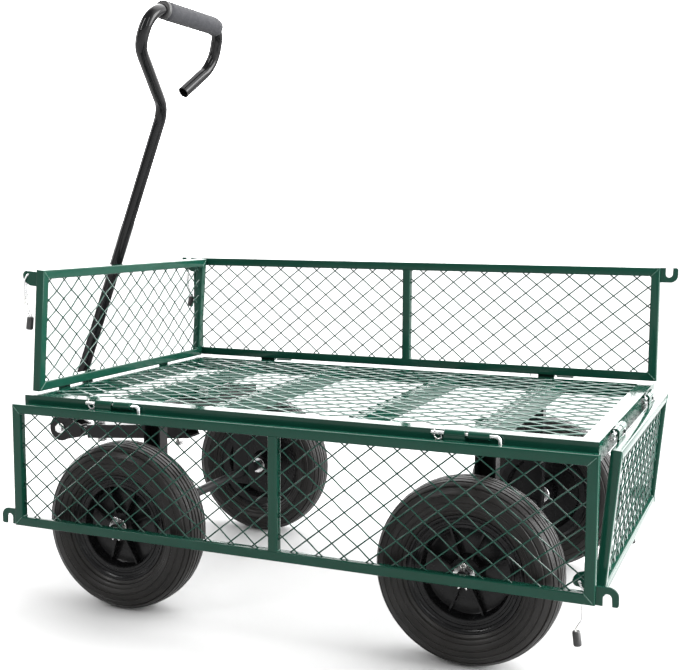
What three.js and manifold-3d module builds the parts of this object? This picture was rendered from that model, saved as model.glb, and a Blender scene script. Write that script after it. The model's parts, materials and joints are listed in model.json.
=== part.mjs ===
// Garden cart: steel-mesh bed on four tyres, folding mesh sides, steered front
// axle and a pull handle. Millimetres, +Z up, the handle end towards -X.
import * as THREE from 'three';
import * as BufferGeometryUtils from 'three/addons/utils/BufferGeometryUtils.js';
import Module from 'manifold-3d';

const wasm = await Module();
wasm.setup();

// ---------- driving dimensions ----------
const ORIGIN_SHIFT = new THREE.Vector3(56, 7, 0); // bed centre -> centre of the footprint
const BED_HALF_L = 433;
const BED_HALF_W = 263;
const BED_TOP = 320;
const FLANGE = 24;
const FLANGE_DROP = 27;
const ANGLE_T = 2.5;
const CROSS_W = 20; // cross members: steel angle under the bed mesh
const CROSS_DEEP = 24;
const CROSS_XS = [-124, 93];

const AXIS_OUT = 6; // hinge axis outside the bed edge
const AXIS_Z = BED_TOP - 3.5;
const RAIL = 14; // square panel tube
const RAIL_UP = 7.5; // hinge axis to rail
const RAIL_OFF = 6; // hinge axis to the panel's outer face
const PANEL_H = 187;
const SIDE_HALF_L = 437.5;
const END_HALF_L = 246;
const KNUCKLE_R = 5.5;
const KNUCKLE_BORE = 3.2;
const KNUCKLE_L = 28;
const SIDE_HINGE = 268;
const END_HINGE = 148;
const FRONT_LEAN = 4; // the front panel leans in over the bed
const REAR_SWING = 4.9; // the rear panel hangs with its foot swung in under the bed

const WHEEL_R = 127;
const TYRE_HALF_W = 36;
const RIM_R = 80;
const TRACK = 228; // wheel centre from the cart's centre line
const FRONT_X = -275;
const REAR_X = 262;
const AXLE_R = 8;
const AXLE_END = 264;
const LEG_Y = 136;

const PIVOT = new THREE.Vector3(-557, 0, 214);
const HANDLE_TILT = 20.9; // from upright, leaning back over the bed
const HANDLE_R = 10;
const BAR_PITCH = 4.6; // the drawbar drops towards the handle
const BAR_MID = new THREE.Vector3(-400, 0, 221);

const rad = THREE.MathUtils.degToRad;
const group = new THREE.Group();
group.name = 'garden_cart';

// ---------- materials ----------
const finish = (color, roughness, metalness) => ({ color, roughness, metalness });
const GREEN = finish(0x0b3b28, 0.42, 0.25);
const WIRE_GREEN = finish(0x0d3526, 0.45, 0.3);
const BLACK = finish(0x141415, 0.4, 0.3);
const ZINC = finish(0xc9ccd0, 0.28, 0.95);
const RUBBER = finish(0x1c1b1b, 0.82, 0.0);
const RIM_BLACK = finish(0x131314, 0.38, 0.0);
const FOAM = finish(0x4a4b4f, 0.9, 0.0);

function put(name, geometry, look) {
  const material = new THREE.MeshStandardMaterial(look);
  material.name = name;
  const mesh = new THREE.Mesh(geometry, material);
  mesh.name = name;
  group.add(mesh);
  return mesh;
}

// ---------- solid helpers ----------
function toSolid(geometry) {
  let g = geometry.clone();
  g.deleteAttribute('normal');
  g.deleteAttribute('uv');
  g = BufferGeometryUtils.mergeVertices(g, 1e-4);
  const index = g.index.array;
  return new wasm.Manifold(new wasm.Mesh({
    numProp: 3,
    vertProperties: new Float32Array(g.attributes.position.array),
    triVerts: new Uint32Array(index),
  }));
}

function toGeometry(solid) {
  const mesh = solid.getMesh();
  const g = new THREE.BufferGeometry();
  g.setAttribute('position', new THREE.BufferAttribute(new Float32Array(mesh.vertProperties), 3));
  g.setIndex(new THREE.BufferAttribute(new Uint32Array(mesh.triVerts), 1));
  const flat = g.toNonIndexed();
  flat.computeVertexNormals();
  return flat;
}

function fuse(add, cut = []) {
  let solid = toSolid(add[0]);
  for (const g of add.slice(1)) solid = solid.add(toSolid(g));
  for (const g of cut) solid = solid.subtract(toSolid(g));
  return toGeometry(solid);
}

function box(x0, x1, y0, y1, z0, z1) {
  const g = new THREE.BoxGeometry(x1 - x0, y1 - y0, z1 - z0);
  return g.translate((x0 + x1) / 2, (y0 + y1) / 2, (z0 + z1) / 2);
}

// A round bar from a to b.
function bar(a, b, r, sides = 16) {
  const from = new THREE.Vector3(...a);
  const to = new THREE.Vector3(...b);
  const g = new THREE.CylinderGeometry(r, r, from.distanceTo(to), sides);
  const turn = new THREE.Quaternion().setFromUnitVectors(
    new THREE.Vector3(0, 1, 0),
    to.clone().sub(from).normalize(),
  );
  g.applyQuaternion(turn);
  return g.translate((from.x + to.x) / 2, (from.y + to.y) / 2, (from.z + to.z) / 2);
}

// A hexagonal nut or bolt head standing on point p along direction axis.
function hex(p, axis, acrossFlats, height) {
  const end = p.map((v, i) => v + axis[i] * height);
  return bar(p, end, acrossFlats / Math.sqrt(3), 6);
}

// Points along a polyline whose corners are rounded to the given radii.
function roundedPath(points, radii, steps) {
  const p = points.map((q) => new THREE.Vector3(...q));
  const out = [p[0].clone()];
  for (let i = 1; i < p.length - 1; i += 1) {
    const a = p[i - 1].clone().sub(p[i]).normalize();
    const b = p[i + 1].clone().sub(p[i]).normalize();
    const half = Math.acos(THREE.MathUtils.clamp(a.dot(b), -1, 1)) / 2;
    const reach = radii[i - 1] / Math.tan(half);
    const centre = a.clone().add(b).normalize().multiplyScalar(radii[i - 1] / Math.sin(half)).add(p[i]);
    const start = a.clone().multiplyScalar(reach).add(p[i]).sub(centre);
    const end = b.clone().multiplyScalar(reach).add(p[i]).sub(centre);
    const angle = start.angleTo(end);
    for (let k = 0; k <= steps; k += 1) {
      const t = k / steps;
      const s0 = Math.sin((1 - t) * angle) / Math.sin(angle);
      const s1 = Math.sin(t * angle) / Math.sin(angle);
      out.push(start.clone().multiplyScalar(s0).add(end.clone().multiplyScalar(s1)).add(centre));
    }
  }
  out.push(p[p.length - 1].clone());
  return out;
}

// A closed round sweep along points, with flat ends.
function sweep(points, r, sides) {
  const tangents = points.map((p, i) => {
    const back = points[Math.max(i - 1, 0)];
    const ahead = points[Math.min(i + 1, points.length - 1)];
    return ahead.clone().sub(back).normalize();
  });
  const first = tangents[0];
  const helper = Math.abs(first.y) < 0.9 ? new THREE.Vector3(0, 1, 0) : new THREE.Vector3(1, 0, 0);
  let side = helper.clone().cross(first).normalize();
  const positions = [];
  points.forEach((p, i) => {
    if (i > 0) {
      const turn = new THREE.Quaternion().setFromUnitVectors(tangents[i - 1], tangents[i]);
      side = side.clone().applyQuaternion(turn).normalize();
    }
    const up = tangents[i].clone().cross(side);
    for (let k = 0; k < sides; k += 1) {
      const a = (2 * Math.PI * k) / sides;
      const v = side.clone().multiplyScalar(Math.cos(a) * r).add(up.clone().multiplyScalar(Math.sin(a) * r));
      positions.push(p.x + v.x, p.y + v.y, p.z + v.z);
    }
  });
  const index = [];
  for (let i = 0; i < points.length - 1; i += 1) {
    for (let k = 0; k < sides; k += 1) {
      const a = i * sides + k;
      const b = i * sides + ((k + 1) % sides);
      index.push(a, b, b + sides, a, b + sides, a + sides);
    }
  }
  const last = (points.length - 1) * sides;
  for (let k = 1; k < sides - 1; k += 1) {
    index.push(0, k + 1, k);
    index.push(last, last + k, last + k + 1);
  }
  const g = new THREE.BufferGeometry();
  g.setAttribute('position', new THREE.Float32BufferAttribute(positions, 3));
  g.setIndex(index);
  g.computeVertexNormals();
  g.setAttribute('uv', new THREE.Float32BufferAttribute(new Float32Array((positions.length / 3) * 2), 2));
  return g;
}

// A flat plate: outline [a, b] pairs extruded by t about the plane, then placed.
function plate(outline, t, place, holes = []) {
  const shape = new THREE.Shape(outline.map(([a, b]) => new THREE.Vector2(a, b)));
  for (const h of holes) shape.holes.push(new THREE.Path(h.map(([a, b]) => new THREE.Vector2(a, b))));
  const g = new THREE.ExtrudeGeometry(shape, { depth: t, bevelEnabled: false });
  g.translate(0, 0, -t / 2);
  return g.applyMatrix4(place);
}

function arc(cx, cy, r, from, to, n) {
  const pts = [];
  for (let i = 0; i <= n; i += 1) {
    const a = rad(from + ((to - from) * i) / n);
    pts.push([cx + r * Math.cos(a), cy + r * Math.sin(a)]);
  }
  return pts;
}

// ---------- bed frame ----------
const hingeY = BED_HALF_W + AXIS_OUT;
const hingeX = BED_HALF_L + AXIS_OUT;
const L = BED_HALF_L;
const W = BED_HALF_W;

// One hinge knuckle on the bed edge: length runs along X before turning.
function bedKnuckle(u, turned, sign) {
  const along = turned ? [0, u, 0] : [u, 0, 0];
  const half = KNUCKLE_L / 2;
  const edge = turned ? L : W;
  const axis = edge + AXIS_OUT;
  const end = (d) => (turned ? [sign * axis, along[1] + d, AXIS_Z] : [along[0] + d, sign * axis, AXIS_Z]);
  const lo = sign > 0 ? edge - 1 : -(edge + 2.4);
  const hi = sign > 0 ? edge + 2.4 : -(edge - 1);
  const weld = turned
    ? box(lo, hi, u - half, u + half, BED_TOP - 10, BED_TOP - 0.5)
    : box(u - half, u + half, lo, hi, BED_TOP - 10, BED_TOP - 0.5);
  return {
    add: [bar(end(-half), end(half), KNUCKLE_R, 14), weld],
    cut: [bar(end(-half - 2), end(half + 2), KNUCKLE_BORE, 12)],
  };
}

const KNUCKLE_STEP = KNUCKLE_L / 2 + 2; // the two knuckles of a hinge sit either side of its centre
const ring = fuse([box(-L, L, -W, W, BED_TOP - FLANGE_DROP, BED_TOP)], [
  box(-L + ANGLE_T, L - ANGLE_T, -W + ANGLE_T, W - ANGLE_T, BED_TOP - 40, BED_TOP - ANGLE_T),
  box(-L + FLANGE, L - FLANGE, -W + FLANGE, W - FLANGE, BED_TOP - 40, BED_TOP + 10),
]);
const crossTop = BED_TOP - ANGLE_T + 0.1;
const crossParts = CROSS_XS.flatMap((x) => [
  box(x - CROSS_W / 2, x + CROSS_W / 2, -W + 1, W - 1, crossTop - ANGLE_T, crossTop),
  box(x + CROSS_W / 2 - ANGLE_T, x + CROSS_W / 2, -W + 2, W - 2, crossTop - CROSS_DEEP, crossTop - 0.5),
]);
const knuckleParts = [];
const knuckleCuts = [];
for (const s of [-1, 1]) {
  for (const u of [-1, 1]) {
    for (const k of [
      bedKnuckle(u * SIDE_HINGE + KNUCKLE_STEP, false, s),
      bedKnuckle(u * END_HINGE + KNUCKLE_STEP, true, s),
    ]) {
      knuckleParts.push(...k.add);
      knuckleCuts.push(...k.cut);
    }
  }
}
put('bed_frame', fuse([ring, ...crossParts, ...knuckleParts], knuckleCuts), GREEN);

// A flat lattice of diamond openings inside a rectangle, thickness t.
function lattice(halfA, halfB, cellsA, cellsB, wire, t, place) {
  const a = (2 * halfA) / cellsA;
  const b = (2 * halfB) / cellsB;
  const slope = Math.hypot(a, b);
  const ha = a / 2 - (wire * slope) / (2 * b);
  const hb = b / 2 - (wire * slope) / (2 * a);
  const holes = [];
  const edgeA = halfA - wire;
  const edgeB = halfB - wire;
  for (let i = 0; i <= 2 * cellsA; i += 1) {
    for (let j = 0; j <= 2 * cellsB; j += 1) {
      if ((i + j) % 2 === 0) continue;
      const ca = -halfA + (i * a) / 2;
      const cb = -halfB + (j * b) / 2;
      let pts = [[ca + ha, cb], [ca, cb + hb], [ca - ha, cb], [ca, cb - hb]];
      if (i === 0) pts = [[ca + ha, cb], [ca + wire, cb + hb * (1 - wire / ha)], [ca + wire, cb - hb * (1 - wire / ha)]];
      if (i === 2 * cellsA) pts = [[ca - ha, cb], [ca - wire, cb - hb * (1 - wire / ha)], [ca - wire, cb + hb * (1 - wire / ha)]];
      if (j === 0) pts = [[ca, cb + hb], [ca - ha * (1 - wire / hb), cb + wire], [ca + ha * (1 - wire / hb), cb + wire]];
      if (j === 2 * cellsB) pts = [[ca, cb - hb], [ca + ha * (1 - wire / hb), cb - wire], [ca - ha * (1 - wire / hb), cb - wire]];
      if (Math.abs(ca) <= edgeA + wire && Math.abs(cb) <= edgeB + wire) holes.push(pts);
    }
  }
  const outline = [[-halfA, -halfB], [halfA, -halfB], [halfA, halfB], [-halfA, halfB]];
  return plate(outline, t, place, holes);
}

put('bed_mesh', lattice(L - FLANGE - 0.4, W - FLANGE - 0.4, 7, 5, 3, 1.6,
  new THREE.Matrix4().makeTranslation(0, 0, BED_TOP - 1.1)), WIRE_GREEN);

// ---------- running gear under the bed ----------
// A leg: U-shaped channel, web towards the centre, from zTop down past the axle.
function leg(x, side, zTop) {
  const half = 15;
  const y = side * LEG_Y;
  const web = side > 0 ? [y, y + 3] : [y - 3, y];
  const deep = side > 0 ? [y, y + 22] : [y - 22, y];
  const low = WHEEL_R - 20;
  return [
    box(x - half, x + half, ...web, low, zTop),
    box(x - half, x - half + 3, ...deep, low, zTop),
    box(x + half - 3, x + half, ...deep, low, zTop),
  ];
}

const axleHole = (x) => bar([x, -200, WHEEL_R], [x, 200, WHEEL_R], AXLE_R + 0.3, 20);
const bedUnder = BED_TOP - ANGLE_T;

put('rear_support', fuse([
  box(REAR_X - 2, REAR_X + 25, -W + 4, W - 4, bedUnder - 3.4, bedUnder - 0.4),
  box(REAR_X + 22, REAR_X + 25, -W + 4, W - 4, bedUnder - CROSS_DEEP, bedUnder - 0.4),
  ...leg(REAR_X, -1, bedUnder - 2),
  ...leg(REAR_X, 1, bedUnder - 2),
], [axleHole(REAR_X)]), BLACK);

const bolsterLow = bedUnder - CROSS_DEEP - 1;
const kingHole = bar([FRONT_X, 0, 240], [FRONT_X, 0, 300], 6.4, 20);
put('front_bolster', fuse([
  box(FRONT_X - 30, FRONT_X - 12, -W + 4, W - 4, bedUnder - 3.4, bedUnder - 0.4),
  box(FRONT_X - 15, FRONT_X - 12, -W + 4, W - 4, bolsterLow + 2, bedUnder - 0.4),
  box(FRONT_X - 32, FRONT_X + 30, -40, 40, bolsterLow - 1, bolsterLow + 3),
], [kingHole]), GREEN);

const plateTop = bolsterLow - 1;
const forkTop = plateTop - 2.1;
put('thrust_washer', fuse(
  [bar([FRONT_X, 0, plateTop - 1.8], [FRONT_X, 0, plateTop - 0.3], 30, 32)],
  [kingHole],
), ZINC);

put('kingpin', fuse([
  bar([FRONT_X, 0, forkTop - 16], [FRONT_X, 0, bolsterLow + 3.3], 6, 20),
  hex([FRONT_X, 0, bolsterLow + 3.3], [0, 0, 1], 18, 8),
  hex([FRONT_X, 0, forkTop - 4.4], [0, 0, -1], 18, 9),
]), ZINC);

const barRot = new THREE.Matrix4().makeRotationY(-rad(BAR_PITCH));
const barPlace = new THREE.Matrix4().makeTranslation(...BAR_MID.toArray()).multiply(barRot);
const onBar = (g) => g.applyMatrix4(barPlace);

// Steering fork: plate and channel across, legs down to the axle, tongue over the drawbar.
const tongueHole = () => onBar(bar([75, 0, -30], [75, 0, 30], 4.3, 16));
put('steer_fork', fuse([
  box(FRONT_X - 27, FRONT_X + 27, -LEG_Y - 10, LEG_Y + 10, forkTop - 4, forkTop),
  box(FRONT_X - 27, FRONT_X - 24, -LEG_Y - 10, LEG_Y + 10, forkTop - 24, forkTop),
  box(FRONT_X + 24, FRONT_X + 27, -LEG_Y - 10, LEG_Y + 10, forkTop - 24, forkTop),
  ...leg(FRONT_X, -1, forkTop - 1),
  ...leg(FRONT_X, 1, forkTop - 1),
  onBar(box(56, 103, -18, 18, 12.1, 17)),
  box(FRONT_X - 27, FRONT_X - 23, -18, 18, 243, forkTop - 2),
  onBar(box(85, 102, -2.5, 2.5, 15, 28)),
], [kingHole, axleHole(FRONT_X), tongueHole()]), BLACK);

// Axles carry a cross hole near each end for the cotter pin.
for (const [name, x] of [['front_axle', FRONT_X], ['rear_axle', REAR_X]]) {
  const holes = [-1, 1].map((s) => bar([x, s * 259, WHEEL_R - 12], [x, s * 259, WHEEL_R + 12], 1.9, 12));
  put(name, fuse([bar([x, -AXLE_END, WHEEL_R], [x, AXLE_END, WHEEL_R], AXLE_R, 24)], holes), BLACK);
}

// ---------- drawbar, yoke and handle ----------
put('drawbar', fuse(
  [onBar(box(-98, 108, -20, 20, -11.7, 11.7))],
  [
    onBar(box(-99, 130, -17, 17, -8.7, 8.7)),
    onBar(box(0, 60, -30, 30, -30, 30).applyMatrix4(
      new THREE.Matrix4().makeTranslation(108, 0, -11.7).multiply(new THREE.Matrix4().makeRotationY(rad(-28))),
    )),
    tongueHole(),
    onBar(bar([-84, 0, -20], [-84, 0, 20], 5.3, 16)),
  ],
), BLACK);

const pivotOnBar = PIVOT.clone().applyMatrix4(barPlace.clone().invert());
function cheek(s) {
  const px = pivotOnBar.x;
  const pz = pivotOnBar.z;
  const outline = [...arc(px, pz, 23, 60, 300, 16), [-114, -10], [-114, 10]];
  const hole = arc(px, pz, 4.3, 0, 337.5, 15);
  const stand = new THREE.Matrix4().makeTranslation(0, s * 13.6, 0)
    .multiply(new THREE.Matrix4().makeRotationX(Math.PI / 2));
  return onBar(plate(outline, 5, stand, [hole]));
}
put('yoke', fuse([
  cheek(-1),
  cheek(1),
  onBar(box(-119, -113, -16, 16, -10, 10)),
  onBar(box(-115, -68, -15, 15, -7, 7)),
], [onBar(bar([-84, 0, -20], [-84, 0, 20], 5.3, 16))]), BLACK);

put('yoke_bolt', fuse([
  onBar(bar([-84, 0, -19], [-84, 0, 12], 5, 16)),
  onBar(hex([-84, 0, 12], [0, 0, 1], 17, 7)),
  onBar(hex([-84, 0, -12], [0, 0, -1], 17, 8)),
]), ZINC);

put('tongue_bolt', fuse([
  onBar(bar([75, 0, -27], [75, 0, 17.3], 4, 16)),
  onBar(hex([75, 0, 17.3], [0, 0, 1], 13, 5)),
  onBar(hex([75, 0, -19.5], [0, 0, -1], 13, 6.5)),
]), ZINC);

put('pivot_bolt', fuse([
  bar([PIVOT.x, -16.4, PIVOT.z], [PIVOT.x, 22, PIVOT.z], 4, 16),
  bar([PIVOT.x, -16.4, PIVOT.z], [PIVOT.x, -17.9, PIVOT.z], 9, 20),
  hex([PIVOT.x, -17.8, PIVOT.z], [0, -1, 0], 13, 5.5),
  hex([PIVOT.x, 16.4, PIVOT.z], [0, 1, 0], 13, 6.5),
]), ZINC);

// Handle: straight shaft, then an open loop across the cart, in the shaft's own plane.
const shaftDir = new THREE.Vector3(Math.sin(rad(HANDLE_TILT)), 0, Math.cos(rad(HANDLE_TILT)));
const onShaft = ([y, s]) => PIVOT.clone().add(shaftDir.clone().multiplyScalar(s)).add(new THREE.Vector3(0, y, 0)).toArray();
const HANDLE_PTS = [[0, -15], [0, 594], [-118, 685], [-118, 748], [94, 748], [112, 684], [45.5, 628]];
const HANDLE_BENDS = [48, 40, 36, 34, 46];
const tubePath = roundedPath(HANDLE_PTS.map(onShaft), HANDLE_BENDS, 5);
const borePath = roundedPath(
  [[0, -18], [0, 594], [-118, 685], [-118, 748], [94, 748], [112, 684], [43.2, 626.1]].map(onShaft),
  HANDLE_BENDS, 5,
);
put('handle_tube', fuse([sweep(tubePath, HANDLE_R, 14)], [
  sweep(borePath, HANDLE_R - 1.6, 12),
  bar([PIVOT.x, -20, PIVOT.z], [PIVOT.x, 20, PIVOT.z], 4.3, 16),
]), BLACK);

// Foam grip over the cross part, running a little way round the far bend.
const gripFrom = (y) => roundedPath([[y, 748], [94, 748], [112, 684]].map(onShaft), [34], 5);
const gripPath = gripFrom(-80).slice(0, 4);
put('handle_grip', fuse([sweep(gripPath, 15, 20)], [sweep(gripFrom(-84), HANDLE_R + 0.35, 16)]), FOAM);

// ---------- wheels ----------
// Profiles are [radius, offset out from the wheel centre], up the bore and back down the outside.
function lathe(profile, segments) {
  const pts = profile.map(([r, y]) => new THREE.Vector2(r, y));
  pts.push(pts[0].clone());
  pts.reverse();
  return new THREE.LatheGeometry(pts, segments);
}

const TYRE_PROFILE = [
  [80.4, -21], [80.4, 21], [90, 33], [100, TYRE_HALF_W], [114, 32], [124, 20], [WHEEL_R, 8],
  [WHEEL_R, -8], [124, -20], [114, -32], [100, -TYRE_HALF_W], [90, -33],
];
const RIM_PROFILE = [
  [8.4, -24], [8.4, 24], [17, 24], [20, 6], [58, 2], [62, 22], [RIM_R, 22],
  [RIM_R, -22], [62, -22], [58, -2], [20, -4], [17, -24],
];
const WHEELS = [
  ['front_left', FRONT_X, -1], ['front_right', FRONT_X, 1],
  ['rear_left', REAR_X, -1], ['rear_right', REAR_X, 1],
];
for (const [name, x, s] of WHEELS) {
  const spin = (g) => (s > 0 ? g : g.rotateZ(Math.PI)).translate(x, s * TRACK, WHEEL_R);
  put(`tyre_${name}`, spin(lathe(TYRE_PROFILE, 32)), RUBBER);
  const ribs = [];
  for (let k = 0; k < 8; k += 1) {
    const a = (k * Math.PI) / 4;
    ribs.push(box(15, 62, 0, 17, -1.5, 1.5).rotateY(a));
  }
  put(`rim_${name}`, spin(fuse([lathe(RIM_PROFILE, 28), ...ribs])), RIM_BLACK);
  const out = s * (TRACK + 24.4);
  put(`washer_${name}`, fuse(
    [bar([x, out, WHEEL_R], [x, out + s * 2, WHEEL_R], 15, 24)],
    [bar([x, out - 5, WHEEL_R], [x, out + 5, WHEEL_R], AXLE_R + 0.3, 24)],
  ), ZINC);
  const y = s * 259;
  put(`cotter_${name}`, sweep(roundedPath([
    [x - 9, y, WHEEL_R - 17], [x, y, WHEEL_R - 10], [x, y, WHEEL_R + 13], [x + 6, y, WHEEL_R + 17], [x + 7, y, WHEEL_R + 11],
  ], [3, 3, 2], 2), 1.5, 6), ZINC);
}

// ---------- folding panels ----------
// Built upright about the hinge axis: u along the panel, v outwards, w up from the axis.
const top = RAIL_UP + PANEL_H;
function panelFrame(half, knuckles, extras) {
  const v0 = -RAIL_OFF - RAIL;
  const v1 = -RAIL_OFF;
  const add = [
    box(-half, half, v0, v1, RAIL_UP, RAIL_UP + RAIL),
    box(-half, half, v0, v1, top - RAIL, top),
    box(-half, -half + RAIL, v0, v1, RAIL_UP, top),
    box(half - RAIL, half, v0, v1, RAIL_UP, top),
  ];
  const cut = [];
  for (const u of knuckles) {
    const c = u - KNUCKLE_STEP;
    const h = KNUCKLE_L / 2;
    add.push(bar([c - h, 0, 0], [c + h, 0, 0], KNUCKLE_R, 14));
    add.push(box(c - h, c + h, -5.2, -3.4, 0, 13));
    add.push(box(c - h, c + h, -6.2, -3.4, 10, 18));
    cut.push(bar([c - h - 2, 0, 0], [c + h + 2, 0, 0], KNUCKLE_BORE, 12));
  }
  return fuse([...add, ...extras], cut);
}

const uprightPlate = (v) => new THREE.Matrix4().makeTranslation(0, v, 0)
  .multiply(new THREE.Matrix4().makeRotationX(Math.PI / 2));

// Hook plate at a side panel's top corner: the slot opens upwards when the panel is up.
function hookPlate(half, s) {
  const x0 = half - 6;
  const w0 = top - 24;
  const outline = [
    [x0, w0], [half + 16, w0], ...arc(half + 16, w0 + 12, 12, -90, 0, 5).slice(1), [half + 28, top - 3],
    [half + 25, top], [half + 20, top], ...arc(half + 14, top - 10, 5.5, 0, -180, 8), [half + 8.5, top], [x0, top],
  ];
  return plate(outline.map(([a, b]) => [s * a, b]), 3, uprightPlate(-12.5));
}

// Latch bracket standing out from an end panel's outer face, in a plane across the panel.
const LATCH_U = 240;
const LATCH_V = 13.5;
const LATCH_W = top - 10;
function latchBracket(s) {
  const outline = [
    [-7, top - 26], [8, top - 26], [17, top - 22], [21.5, top - 16], ...arc(15.5, top - 11, 7, 0, 90, 4), [-7, top - 4],
  ];
  const hole = arc(LATCH_V, LATCH_W, 2.2, 0, 330, 11);
  const place = new THREE.Matrix4().makeBasis(
    new THREE.Vector3(0, 1, 0), new THREE.Vector3(0, 0, 1), new THREE.Vector3(1, 0, 0),
  ).setPosition(s * LATCH_U, 0, 0);
  return plate(outline, 2, place, [hole]);
}

// Placement of each panel: hinge line, heading of u, and how far it is folded from upright.
function panelPlace(x, y, heading, fold) {
  return new THREE.Matrix4().makeTranslation(x, y, AXIS_Z)
    .multiply(new THREE.Matrix4().makeRotationZ(rad(heading)))
    .multiply(new THREE.Matrix4().makeRotationX(rad(-fold)));
}
const SIDE_U = [-SIDE_HINGE, SIDE_HINGE];
const END_U = [-END_HINGE, END_HINGE];
const PANELS = [
  { name: 'left', kind: 'side', place: panelPlace(0, -hingeY, 180, 180), flip: -1 },
  { name: 'right', kind: 'side', place: panelPlace(0, hingeY, 0, 0), flip: 1 },
  { name: 'front', kind: 'end', place: panelPlace(-hingeX, 0, 90, -FRONT_LEAN), flip: 1 },
  { name: 'rear', kind: 'end', place: panelPlace(hingeX, 0, -90, 180 + REAR_SWING), flip: -1 },
];
for (const p of PANELS) {
  const side = p.kind === 'side';
  const half = side ? SIDE_HALF_L : END_HALF_L;
  const extras = side
    ? [hookPlate(half, -1), hookPlate(half, 1),
      box(-RAIL / 2, RAIL / 2, -RAIL_OFF - RAIL, -RAIL_OFF, RAIL_UP + 1, top - 1)]
    : [latchBracket(-1), latchBracket(1)];
  // The knuckles keep the same order along the cart whichever way the panel faces.
  const knuckles = (side ? SIDE_U : END_U).map((u) => (p.flip < 0 ? u + 2 * KNUCKLE_STEP : u));
  put(`panel_${p.name}`, panelFrame(half, knuckles, extras).applyMatrix4(p.place), GREEN);

  const innerH = PANEL_H / 2 - RAIL - 0.4;
  const mid = new THREE.Matrix4().makeTranslation(0, -RAIL_OFF - RAIL / 2, RAIL_UP + PANEL_H / 2)
    .multiply(new THREE.Matrix4().makeRotationX(Math.PI / 2));
  if (side) {
    const quarter = (half - RAIL - RAIL / 2) / 2;
    for (const s of [-1, 1]) {
      const bay = new THREE.Matrix4().makeTranslation(s * (RAIL / 2 + quarter), 0, 0).multiply(mid);
      const name = `mesh_${p.name}_${s * p.flip < 0 ? 'front' : 'rear'}`;
      put(name, lattice(quarter - 0.4, innerH, 5, 2, 2, 2, bay).applyMatrix4(p.place), WIRE_GREEN);
    }
  } else {
    put(`mesh_${p.name}`, lattice(half - RAIL - 0.4, innerH, 6, 2, 2, 2, mid).applyMatrix4(p.place), WIRE_GREEN);
  }
}

// ---------- latch bails with their rubber sleeves ----------
// A bail is one bent wire through the bracket's hole, hanging straight down at rest.
function bailAt(origin, sx) {
  const leg2 = 2.75;
  const at = (u, y, w) => [origin.x + sx * u, origin.y + y, origin.z + w];
  const path = [
    at(-0.5, leg2, -80), at(-3, leg2, -62), at(5, leg2, -48), at(5, leg2, -9), at(0, leg2, 0),
    at(0, -leg2, 0), at(5, -leg2, -9), at(5, -leg2, -48), at(-3, -leg2, -62), at(-0.5, -leg2, -80),
  ];
  const bends = [3, 8, 3, 1.4, 1.4, 3, 8, 3];
  const wire = roundedPath(path, bends, 2);
  const core = [
    [at(-0.5, leg2, -80.5), at(-3, leg2, -62)],
    [at(-0.5, -leg2, -80.5), at(-3, -leg2, -62)],
  ].map(([a, b]) => {
    const dir = a.map((v, i) => (v - b[i]) * 0.16);
    return bar(a, b.map((v, i) => v - dir[i]), 1.65, 10);
  });
  const sleeve = bar(at(0.05, 0, -84), at(-2.6, 0, -64.5), 5.4, 16);
  return { wire: sweep(wire, 1.25, 6), sleeve: fuse([sleeve], core) };
}
for (const p of PANELS.filter((q) => q.kind === 'end')) {
  for (const s of [-1, 1]) {
    const origin = new THREE.Vector3(s * LATCH_U, LATCH_V, LATCH_W).applyMatrix4(p.place);
    const where = `${p.name}_${origin.y < 0 ? 'left' : 'right'}`;
    const outward = p.name === 'front' ? -1 : 1;
    const bail = bailAt(origin, outward);
    put(`bail_${where}`, bail.wire, ZINC);
    put(`bail_sleeve_${where}`, bail.sleeve, RUBBER);
  }
}

// ---------- hinge pins ----------
// Each pin has a turned-down end and a spring clip through the other end.
function hingePin() {
  const pin = sweep(roundedPath([[-48, 0, 0], [43, 0, 0], [43, 0, -13]], [5], 3), 2.5, 10);
  const clip = sweep(roundedPath([
    [-44, 0, 6], [-44, 0, -5], [-40, 0, -8.5], [-33.5, 0, -6.5], [-35, 0, -3],
  ], [3, 3, 1.2], 2), 1, 6);
  return fuse([pin, clip]);
}
const PINS = [];
for (const s of [-1, 1]) {
  for (const u of [-1, 1]) {
    PINS.push([`${s < 0 ? 'left' : 'right'}_${u < 0 ? 'front' : 'rear'}`, u * SIDE_HINGE, s * hingeY, 0]);
    PINS.push([`${s < 0 ? 'front' : 'rear'}_${u < 0 ? 'left' : 'right'}`, s * hingeX, u * END_HINGE, 90]);
  }
}
for (const [name, x, y, heading] of PINS) {
  put(`hinge_pin_${name}`, hingePin().rotateZ(rad(heading)).translate(x, y, AXIS_Z), ZINC);
}

for (const mesh of group.children) mesh.geometry.translate(...ORIGIN_SHIFT.toArray());

export default group;
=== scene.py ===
# Looks for the garden cart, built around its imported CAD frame. Metres, +Z up, handle end at -X.
import json
import math
import bmesh
import bpy
import numpy as np
from mathutils import Matrix, Vector
from mathutils.geometry import tessellate_polygon


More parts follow.
